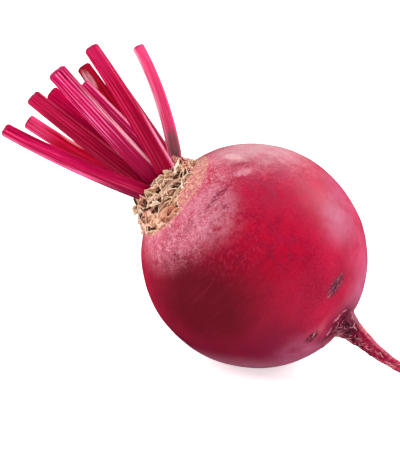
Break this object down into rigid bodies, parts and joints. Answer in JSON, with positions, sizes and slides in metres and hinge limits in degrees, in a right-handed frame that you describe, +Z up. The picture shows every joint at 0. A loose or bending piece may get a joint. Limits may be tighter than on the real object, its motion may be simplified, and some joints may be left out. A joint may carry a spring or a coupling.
{
  "type": "beetroot",
  "caption": "Whole round root vegetable on its side: swollen root with a thin tail, corky crown and cut-back leaf stalks.",
  "frame": {"origin": "middle of the small flat spot under the root, on the surface that it rests on", "axes": "+Z up, +X towards the tail's tip and away from the crown, -Y towards the side that faces the viewer in the picture"},
  "size_m": [0.1881, 0.083, 0.1229],
  "materials": {
    "skin": "smooth waxy crimson root skin, dusty pink near the crown, with dark root scars",
    "cork": "dry papery tan cork",
    "stalk": "satin magenta leaf stalk with lengthwise ribs"
  },
  "bodies": {
    "root": {"root": "skin", "crown": "cork", "stalk_01": "stalk", "stalk_02": "stalk", "stalk_03": "stalk", "stalk_04": "stalk", "stalk_05": "stalk", "stalk_06": "stalk", "stalk_07": "stalk", "stalk_08": "stalk", "stalk_09": "stalk", "stalk_10": "stalk"}
  },
  "joints": []
}
